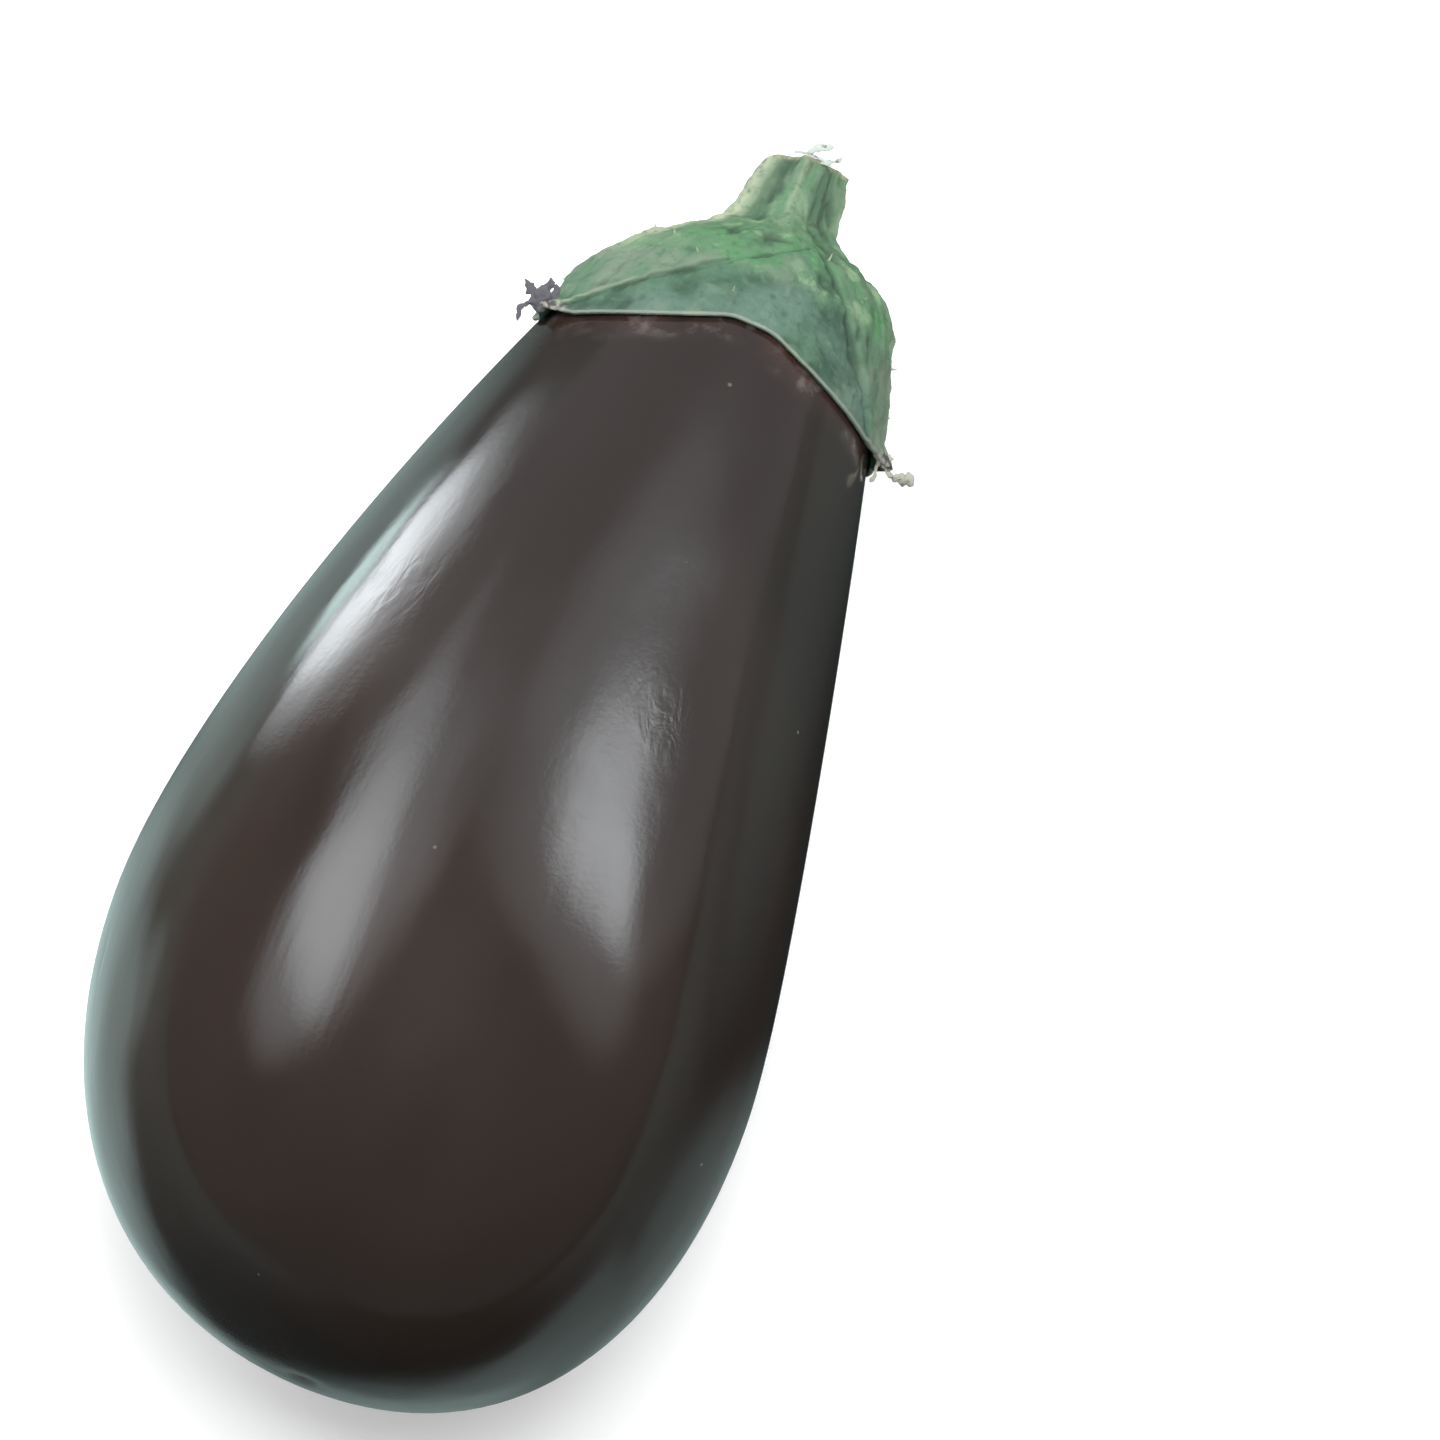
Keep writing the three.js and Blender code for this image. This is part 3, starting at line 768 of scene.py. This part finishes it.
class GrowFruit(bpy.types.Operator):
    """Turns the fruit's outline, bows it, presses the resting spot flat and lays it down"""

    bl_idname = "eggplant.grow_fruit"
    bl_label = "Fruit"

    def execute(self, context):
        fruit = context.scene.eggplant_fruit
        calyx = CalyxForm(fruit, context.scene.eggplant_calyx)
        pose = lying(fruit)

        def place(ring, azimuth):
            dent = 0
            scar = 0
            if ring.y < fruit.belly_station:
                dent = fruit.scar_depth * (1 - ramp(ring.x, 0, fruit.scar_radius))
                scar = 1 - ramp(ring.x, SCAR_CORE * fruit.scar_radius, SCAR_RIM * fruit.scar_radius)
            even = bend(fruit, ring.x, ring.y, azimuth)
            slow = noise.noise(Vector((even.x, even.y * WAVE_STRETCH, even.z)) / WAVE_LENGTH)
            wave = fruit.waviness * slow * ramp(ring.x, 0, WAVE_FADE)
            point = pose @ bend(fruit, ring.x + wave, ring.y + dent, azimuth)
            point.z = max(point.z, 0)
            below = max(0, calyx.edge_station(azimuth) - ring.y)
            return point, {"below_calyx": below, "scar": scar}

        rings = outline(fruit_spans(fruit), SPAN_STEPS)
        bm = turned(rings, FRUIT_SIDES, place, ("below_calyx", "scar"))
        piece = to_object(bm, "fruit_skin", skin_material(context.scene.eggplant_skin_colours))
        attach(piece, "root")
        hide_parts("fruit")
        return {"FINISHED"}


class CalyxForm:
    """Where the calyx and stalk are, by azimuth and station."""

    def __init__(self, fruit, calyx):
        self.fruit = fruit
        self.calyx = calyx
        skin = outline(fruit_spans(fruit), CURVE_SAMPLES)
        self.inner = Outline(offset(skin, GAP))
        self.outer = Outline(outline(self.outer_spans(), CURVE_SAMPLES))

    def outer_spans(self):
        calyx = self.calyx
        skirt = Vector((self.inner.radius_at(SKIRT_STATION) + calyx.edge_thickness, SKIRT_STATION))
        shoulder = Vector((SHOULDER_RADIUS, SHOULDER_STATION))
        foot = Vector((calyx.stalk_foot_radius, calyx.stalk_foot_station))
        end = Vector((calyx.stalk_end_radius, calyx.stalk_end_station))
        up_slope = Vector((-sin(SHOULDER_SLOPE), cos(SHOULDER_SLOPE)))
        shoulder_handle = up_slope * SHOULDER_HANDLE
        skirt_handle = Vector((-self.fruit.neck_taper, 1)) * SKIRT_HANDLE
        foot_handle = Vector((0, STALK_FOOT_HANDLE))
        return (
            (skirt, skirt + skirt_handle, shoulder - shoulder_handle, shoulder),
            (shoulder, shoulder + shoulder_handle, foot - foot_handle, foot),
            (foot, foot, end, end),
        )

    def across(self, sepal, azimuth):
        """Degrees from a sepal's middle, negative before it."""
        return (degrees(azimuth) - sepal.azimuth + 180) % 360 - 180

    def share(self, sepal, azimuth):
        """How far an azimuth is from a sepal's middle, as a share of its half width."""
        across = self.across(sepal, azimuth)
        return -across / sepal.before if across < 0 else across / sepal.after

    def edge_station(self, azimuth):
        """The station of the calyx edge: pointed at the middle of each sepal."""
        reach = 0
        for sepal in SEPALS:
            share = min(EDGE_REACH, self.share(sepal, azimuth))
            own = sepal.reach * MM * (1 - share**EDGE_ROUNDNESS)
            near = max(0, 1 - abs(reach - own) / EDGE_BLEND)
            reach = max(reach, own) + near * near * EDGE_BLEND / 4
        return SINUS_STATION - reach

    def crease_distance(self, azimuth, station, radius):
        """How far inside a sepal's fleshy part a point is. Negative on the web beside it."""
        distances = []
        for sepal in SEPALS:
            tip = SINUS_STATION - sepal.reach * MM
            spread = (station - tip) / (CREASE_STATION - tip)
            across = self.across(sepal, azimuth)
            flat, end = sepal.fleshy_before if across < 0 else sepal.fleshy_after
            share = max(0, (abs(across) - flat) / (end - flat))
            distances.append((spread - share) * radians(end - flat) * radius)
        return max(distances)

    def tip_move(self, azimuth, station):
        """How far a dry tip moves a point outwards and along the skin, and how dry it is there."""
        out = along = dry = 0
        above = station - self.edge_station(azimuth)
        for sepal in SEPALS:
            beside = self.share(sepal, azimuth) * (sepal.before + sepal.after) / 2
            strength = max(0, 1 - beside / TIP_WIDTH) * min(1, max(0, 1 - above / TIP_LENGTH))
            out += sepal.tip_out * MM * strength
            along += sepal.tip_along * MM * strength
            dry += strength
        return out, along, dry

    def ridge(self, azimuth):
        """1 on the crest of a ridge of the stalk and 0 in the grooves."""
        return 1 - abs(sin(RIDGES / 2 * (azimuth - RIDGE_AZIMUTH)))

    def rind_side(self, azimuth):
        """1 towards the rind and 0 on the other half of the calyx."""
        return max(0, cos(azimuth - RIND_AZIMUTH))

    def pale_ridges_and_lit_side(self, azimuth, station, on_ridge):
        """How pale the skin is: on the ridges, mostly on one side, and down the broad rind. Partly the
        ridges' own beige and partly painted light, paler on the side towards the lamps.
        """
        beside = FAR_WEAR + (1 - FAR_WEAR) * self.rind_side(azimuth) ** 2
        rind = bell(remainder(azimuth - RIND_AZIMUTH, TURN), RIND_WIDTH)
        along = ramp(station, RIND_START, RIND_FULL)
        opposite = bell(remainder(azimuth - WORN_AZIMUTH, TURN), WORN_WIDTH)
        below = ramp(station, WORN_END, SHOULDER_STATION)
        return max(on_ridge * beside, rind * along, WORN_SHARE * opposite * below)

    def place(self, radius, station, azimuth):
        """A point of the calyx, with its dry tips turned and the stalk bent."""
        out, along, _ = self.tip_move(azimuth, station)
        point = bend(self.fruit, radius + out, station - along, azimuth)
        point.x += STALK_BEND * ramp(station, SHOULDER_STATION, self.calyx.stalk_end_station)
        return point

    def relief(self, azimuth, station, radius, crease):
        """Height of the lumps, fibres, ribs, veins and creases of the outer face."""
        calyx = self.calyx
        stalk = ramp(station, SHOULDER_STATION, calyx.stalk_foot_station)
        here = bend(self.fruit, radius, station, azimuth)
        small_lumps = noise.fractal(here / SMALL_LUMP_SIZE, 1, 2, LUMP_OCTAVES)
        lumps = LARGE_LUMPS * noise.noise(here / LUMP_SIZE) + small_lumps
        across = Vector((sin(azimuth), cos(azimuth), 0))
        grain = across * (FIBRES_ROUND + (STALK_FIBRES_ROUND - FIBRES_ROUND) * stalk)
        grain.z = station / FIBRE_LENGTH
        fibres = noise.noise(grain) + FINE_SHARE * noise.noise(grain * FINE_FIBRES)
        height = calyx.lump_height * lumps + calyx.fibre_height * fibres
        for sepal in SEPALS:
            tip = SINUS_STATION - sepal.reach * MM
            arc = radians(self.across(sepal, azimuth)) * radius
            rib = bell(arc, RIB_WIDTH) * ramp(station, tip, tip + RIB_START)
            height += calyx.rib_height * rib * (1 - stalk)
        crest = bell(crease - CREST_RISE, CREST_WIDTH) * self.rind_side(azimuth)
        dip = bell(crease + DIP_WIDTH, DIP_WIDTH)
        height += (CREST_HEIGHT * crest - DIP_DEPTH * dip) * (1 - stalk)
        flutes = noise.noise(across * FLUTES_ROUND + Vector((0, 0, station / FLUTE_LENGTH)))
        height += calyx.flute_height * flutes * ramp(station, FLUTE_START, SHOULDER_STATION)
        fold = bell(station - FOLD_STATION - FOLD_WIDTH * lumps, FOLD_WIDTH)
        height += FOLD_HEIGHT * fold * ramp(-crease, -FOLD_FADE, FOLD_FADE)
        return height

    def outer_point(self, azimuth, station):
        """A point of the outer face, and its layer values."""
        calyx = self.calyx
        radius = self.outer.radius_at(station)
        crease = self.crease_distance(azimuth, station, radius)
        fleshy = ramp(crease, -CREASE_SOFTNESS, CREASE_SOFTNESS)
        above_fold = ramp(station, FOLD_STATION - FOLD_SOFTNESS, FOLD_STATION + FOLD_SOFTNESS)
        cover = max(fleshy, above_fold)
        fade = ramp(station, SHOULDER_STATION, calyx.stalk_foot_station)
        crest = self.ridge(azimuth)
        radius = (radius - calyx.web_depth * (1 - cover)) * (1 + fade * RIDGE_HEIGHT * (crest - 0.5))
        edge = self.edge_station(azimuth)
        level = ramp(station, edge, edge + EDGE_LEVEL)
        relief = self.relief(azimuth, station, radius, crease)
        height = relief * level
        out, up = self.outer.slope_at(station)
        point = self.place(radius + out * height, station + up * height, azimuth)
        # Painted highlight along the crease, on the side towards the lamps, fading out towards the stalk.
        lit = ramp(station, CREASE_LINE_END, CREASE_LINE_END - CREASE_LINE_FADE)
        line = bell(crease - CREASE_LINE_RISE, CREASE_LINE_WIDTH)
        _, _, dry = self.tip_move(azimuth, station)
        end = calyx.stalk_end_station
        values = {
            "sepal": fleshy,
            "from_edge": max(0, station - edge),
            "flare": above_fold * (1 - FLARE_FADE * fade),
            "ridge": self.pale_ridges_and_lit_side(azimuth, station, fade * ramp(crest, *PALE_CREST)),
            "crease_line": self.rind_side(azimuth) * line * lit,
            "groove": fade * ramp(crest, *GROOVE_SHADE),
            "dry": ramp(dry, *DRY_TIP),
            "relief": relief / MM,
            "cut": CUT_RING * ramp(station, end - CUT_EDGE, end),
        }
        return point, values


class GrowCalyx(bpy.types.Operator):
    """Grows the calyx over the crown, with its sepals, creases, cut stalk and prickles"""

    bl_idname = "eggplant.grow_calyx"
    bl_label = "Calyx and stalk"

    def execute(self, context):
        fruit = context.scene.eggplant_fruit
        shape = context.scene.eggplant_calyx
        form = CalyxForm(fruit, shape)
        pose = lying(fruit)
        layers = "sepal from_edge flare ridge groove crease_line dry relief cut".split()
        crown = fruit.length + GAP
        end = shape.stalk_end_station
        inside = {"from_edge": INSIDE_MARGIN}

        def place(ring, azimuth):
            kind, share = ring
            edge = form.edge_station(azimuth)
            values = inside
            if kind == "pole":
                point = bend(fruit, 0, crown, azimuth)
            elif kind == "underside":
                station = edge + share * (crown - edge)
                point = form.place(form.inner.radius_at(station), station, azimuth)
            elif kind == "lip":
                outer, values = form.outer_point(azimuth, edge)
                values = {**values, "from_edge": 0 if share > LIP_PALE else INSIDE_MARGIN}
                inner = form.place(form.inner.radius_at(edge), edge, azimuth)
                point = inner.lerp(outer, share)
                point.y -= LIP_BULGE * sin(pi * share)
            elif kind == "outside":
                point, values = form.outer_point(azimuth, edge + share * (end - edge))
            else:
                rim, values = form.outer_point(azimuth, end)
                middle = form.place(0, end, azimuth)
                point = middle.lerp(rim, share)
                grain = noise.noise(point / CUT_GRAIN_SIZE) * CUT_GRAIN
                bevelled = ramp(share, 1, CUT_RIM)
                dished = ramp(share, CUT_RIM, CUT_MIDDLE)
                point.y += CUT_BEVEL * bevelled - CUT_DISH * dished + grain * bevelled
                pith = CUT_RING + (1 - CUT_RING) * ramp(share, *CUT_PITH)
                values = {**values, "cut": pith, "ridge": 0, "groove": 0}
            return pose @ point, values

        rings = [("pole", 0)]
        rings += [("underside", cos(pi / 2 * row / INNER_ROWS)) for row in range(1, INNER_ROWS + 1)]
        rings += [("lip", row / LIP_ROWS) for row in range(1, LIP_ROWS)]
        rings += [("outside", (row / OUTER_ROWS) ** EDGE_CROWDING) for row in range(OUTER_ROWS + 1)]
        rings += [("cut", 1 - row / CUT_ROWS) for row in range(1, CUT_ROWS + 1)]
        bm = turned(rings, CALYX_SIDES, place, layers)
        self.add_prickles(bm, form, pose, shape, inside)
        piece = to_object(bm, "calyx_leather", calyx_material(context.scene.eggplant_calyx_colours))
        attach(piece, "root")
        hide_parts("calyx_and_stalk")
        return {"FINISHED"}

    def add_prickles(self, bm, form, pose, shape, inside):
        """Short prickles, scattered by two uneven steps and set square to the calyx."""
        stores = bm.verts.layers.float
        for index in range(shape.prickles):
            scatter = PRICKLE_SCATTER * (index * GOLDEN_STEP % 1)
            azimuth = TURN * (index + scatter) / shape.prickles
            rise = (index * PLASTIC_STEP) % 1
            station = PRICKLE_LOW + rise * (PRICKLE_HIGH - PRICKLE_LOW)
            foot, values = form.outer_point(azimuth, station)
            beside = azimuth + PRICKLE_STEP / form.outer.radius_at(station)
            across = form.outer_point(beside, station)[0] - foot
            up = form.outer_point(azimuth, station + PRICKLE_STEP)[0] - foot
            normal = across.cross(up).normalized()
            length = shape.prickle_length + PRICKLE_ROOT
            middle = Matrix.Translation((0, 0, length / 2 - PRICKLE_ROOT))
            turn = normal.to_track_quat("Z", "Y").to_matrix().to_4x4()
            radii = {"radius1": shape.prickle_radius, "radius2": PRICKLE_TIP_RADIUS}
            place = pose @ Matrix.Translation(foot) @ turn @ middle
            cone = bmesh.ops.create_cone(
                bm, cap_ends=True, segments=PRICKLE_SIDES, depth=length, matrix=place, **radii
            )
            marks = {**inside, "flare": values["flare"], "sepal": 1, "ridge": PRICKLE_PALE}
            for vert in cone["verts"]:
                for name, value in marks.items():
                    vert[stores[name]] = value


class DryTips(bpy.types.Operator):
    """Adds dark scraps on one side sepal, a tan curl on the other, and fibres on the cut stalk"""

    bl_idname = "eggplant.dry_tips"
    bl_label = "Dried tips"

    def execute(self, context):
        fruit = context.scene.eggplant_fruit
        form = CalyxForm(fruit, context.scene.eggplant_calyx)
        pose = lying(fruit)
        colours = context.scene.eggplant_calyx_colours
        for name, (azimuth, station), tone, strands in SHRIVELLED_ENDS:
            root = pose @ form.outer_point(azimuth, station)[0]
            whole = bmesh.new()
            for strand in strands:
                self.add_strand(whole, root, strand)
            piece = to_object(whole, name, husk_material(name, tone, colours))
            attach(piece, "root")
        return {"FINISHED"}

    def add_strand(self, whole, root, strand):
        """A flat crumpled strand along a path of (x, y, z, width, thickness) in mm from the root."""
        path = [Vector(row[:3]) * MM + root for row in strand]
        rows = len(path) - 1

        def place(ring, azimuth):
            share = ring * rows
            low = min(int(share), rows - 1)
            part = share - low
            point = path[low].lerp(path[low + 1], part)
            along = (path[low + 1] - path[low]).normalized()
            side = along.cross(Vector((0, 0, 1))).normalized()
            up = side.cross(along)
            first, second = strand[low], strand[low + 1]
            width = (first[3] + (second[3] - first[3]) * part) * MM / 2
            thickness = (first[4] + (second[4] - first[4]) * part) * MM / 2
            past = 2 * max(0, abs(ring - 0.5) - (1 - ROUNDED_SHARE) / 2) / ROUNDED_SHARE
            round_end = sqrt(max(0, 1 - past**2))
            crumple = 1 + CRUMPLE * noise.noise(point / CRUMPLE_SIZE + Vector((sin(azimuth), 0, 0)))
            reach = round_end * crumple
            curl = width * CURL * sin(azimuth) ** 2 * noise.noise(point / CURL_SIZE)
            point = point + side * (width * sin(azimuth) * reach)
            return point + up * (thickness * cos(azimuth) * reach + curl * round_end), {}

        part = turned([row / STRAND_ROWS for row in range(STRAND_ROWS + 1)], STRAND_SIDES, place, ())
        mesh = bpy.data.meshes.new("strand")
        part.to_mesh(mesh)
        part.free()
        whole.from_mesh(mesh)
        bpy.data.meshes.remove(mesh)


# ---- Stage ----


def facing_object(name, data, place, facing, side):
    """A lamp or camera that faces one way, with another to its right."""
    back = -facing.normalized()
    right = side.normalized()
    turn = Matrix((right, back.cross(right), back)).transposed().to_4x4()
    piece = bpy.data.objects.new(name, data)
    piece.matrix_world = Matrix.Translation(Vector(place)) @ turn
    bpy.context.scene.collection.objects.link(piece)
    return piece


class SetStage(bpy.types.Operator):
    """Lays the floor, hangs the softboxes and sets the camera"""

    bl_idname = "eggplant.set_stage"
    bl_label = "Stage"

    def execute(self, context):
        scene = context.scene
        studio = scene.eggplant_studio
        lift = {"Emission Color": FLOOR_LIFT_COLOUR, "Emission Strength": FLOOR_LIFT}
        sockets = {"Base Color": tuple(studio.floor_colour), "Roughness": 0.9, **lift}
        to_object(level_sheet(FLOOR_HEIGHT), "floor", Shader("floor_paper").finish(sockets))
        world = bpy.data.worlds.new("room")
        world.use_nodes = True
        background = world.node_tree.nodes["Background"]
        background.inputs["Color"].default_value = ROOM_COLOUR
        background.inputs["Strength"].default_value = studio.room
        scene.world = world
        scene.view_settings.view_transform = "Standard"
        for name, place, long_side, width, height, *look in SOFTBOXES:
            facing = Vector(AIM) - Vector(place)
            self.add_softbox(name, place, facing, long_side, (width, height), *look)
        size = (FILL_SIZE, FILL_SIZE)
        facing = Vector(FILL_FACING)
        look = (studio.fill, *FILL_LOOK)
        fill = self.add_softbox("fill", FILL_PLACE, facing, FILL_LONG_SIDE, size, *look)
        fill.visible_glossy = False
        self.add_reflected_floor()
        camera = bpy.data.cameras.new("camera")
        camera.lens = studio.lens
        camera.clip_start = 0.01
        forward, right = Vector(CAMERA_FORWARD), Vector(CAMERA_RIGHT)
        scene.camera = facing_object("camera", camera, CAMERA_PLACE, forward, right)
        return {"FINISHED"}

    def add_softbox(self, name, place, facing, long_side, size, radiance, soft, corner):
        """A lamp with soft edges that the camera doesn't see. long_side leads along its height.

        A corner of 2 makes it an ellipse, and a higher one a rectangle with tighter corners. soft is the
        share of it over which the edge fades.
        """
        light = bpy.data.lights.new(name, "AREA")
        light.shape = "RECTANGLE"
        light.size, light.size_y = size
        light.energy = size[0] * size[1] * pi
        light.color = LAMP_COLOUR
        light.use_nodes = True
        shader = Shader(name, light.node_tree, "Emission")
        across, along = shader.x_and_y(shader.node("ShaderNodeNewGeometry", output="Parametric"))
        reach = (2 * across - 1) ** corner + (2 * along - 1) ** corner
        glow = radiance * shader.step(reach, 1, 1 - soft)
        shader.link(shader.surface.inputs["Strength"], glow)
        lamp = facing_object(name, light, place, facing, -Vector(long_side).cross(facing))
        lamp.visible_camera = False
        return lamp

    def add_reflected_floor(self):
        """A card on the floor that only reflections see: dark, with the floor's soft pools of light."""
        shader = Shader("reflected_floor")
        x, y = shader.x_and_y(shader.object_point())
        brightness = CARD_DARK
        for middle_x, middle_y, half_x, half_y, glow in FLOOR_GLOWS:
            reach = ((x - middle_x) * (1 / half_x)) ** 2 + ((y - middle_y) * (1 / half_y)) ** 2
            brightness = brightness + glow * shader.step(reach, 1, GLOW_CORE)
        tinted = {0: CARD_TINT, "Scale": brightness}
        pools = shader.node("ShaderNodeVectorMath", {"operation": "SCALE"}, tinted)
        light = {"Emission Color": pools, "Emission Strength": 1}
        material = shader.finish({"Base Color": (0, 0, 0, 1), "Specular IOR Level": 0, **light})
        card = to_object(level_sheet(CARD_HEIGHT), "reflected_floor", material)
        card.visible_camera = False
        card.visible_diffuse = False
        card.visible_shadow = False
        card.visible_transmission = False


class EggplantPanel(bpy.types.Panel):
    """Sizes, colours and pieces of the eggplant"""

    bl_idname = "VIEW3D_PT_eggplant"
    bl_label = "Eggplant"
    bl_space_type = "VIEW_3D"
    bl_region_type = "UI"
    bl_category = "Eggplant"

    def draw(self, context):
        for name, group in GROUPS.items():
            box = self.layout.box()
            box.label(text=group.__doc__)
            for field in group.__annotations__:
                box.prop(getattr(context.scene, name), field)
        for operator in OPERATORS:
            self.layout.operator(operator.bl_idname)


OPERATORS = (GrowFruit, GrowCalyx, DryTips, SetStage)
GROUPS = {
    "eggplant_fruit": FruitShape,
    "eggplant_calyx": CalyxShape,
    "eggplant_skin_colours": SkinColours,
    "eggplant_calyx_colours": CalyxColours,
    "eggplant_studio": StudioSetup,
}


def register():
    for name, group in GROUPS.items():
        bpy.utils.register_class(group)
        setattr(bpy.types.Scene, name, bpy.props.PointerProperty(type=group))
    for operator in OPERATORS:
        bpy.utils.register_class(operator)
    bpy.utils.register_class(EggplantPanel)


def unregister():
    bpy.utils.unregister_class(EggplantPanel)
    for operator in OPERATORS:
        bpy.utils.unregister_class(operator)
    for name, group in GROUPS.items():
        delattr(bpy.types.Scene, name)
        bpy.utils.unregister_class(group)


def main():
    register()
    bpy.ops.eggplant.set_stage()
    bpy.ops.eggplant.grow_fruit()
    bpy.ops.eggplant.grow_calyx()
    bpy.ops.eggplant.dry_tips()


if __name__ == "__main__":
    main()
